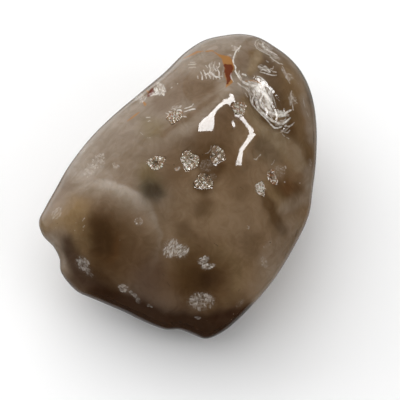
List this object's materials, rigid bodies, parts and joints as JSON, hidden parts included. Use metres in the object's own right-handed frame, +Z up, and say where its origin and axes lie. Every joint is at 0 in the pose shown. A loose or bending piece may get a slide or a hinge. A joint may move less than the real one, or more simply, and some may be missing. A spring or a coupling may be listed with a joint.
{
  "type": "enhydro agate",
  "caption": "Palm-sized polished pebble of smoky banded chalcedony, tapering to a rounded tip, with small hollows lined with quartz crystals; rests on a flat spot.",
  "frame": {"origin": "on the surface that the stone rests on, under the middle of its box", "axes": "+Z up from the flat spot that it rests on; +Y along the stone, from its broad end to its narrow end"},
  "size_m": [0.0512, 0.0694, 0.0413],
  "materials": {
    "chalcedony": "polished, translucent",
    "druse": "fine crystals, sparkling"
  },
  "bodies": {
    "root": {"agate": "chalcedony", "druse_ring": "druse", "druse_middle": "druse", "druse_middle_right": "druse", "druse_middle_low": "druse", "druse_rusty": "druse", "druse_rusty_low": "druse", "druse_crest": "druse", "druse_shoulder": "druse", "druse_back_upper": "druse", "druse_back_lower": "druse"}
  },
  "joints": []
}
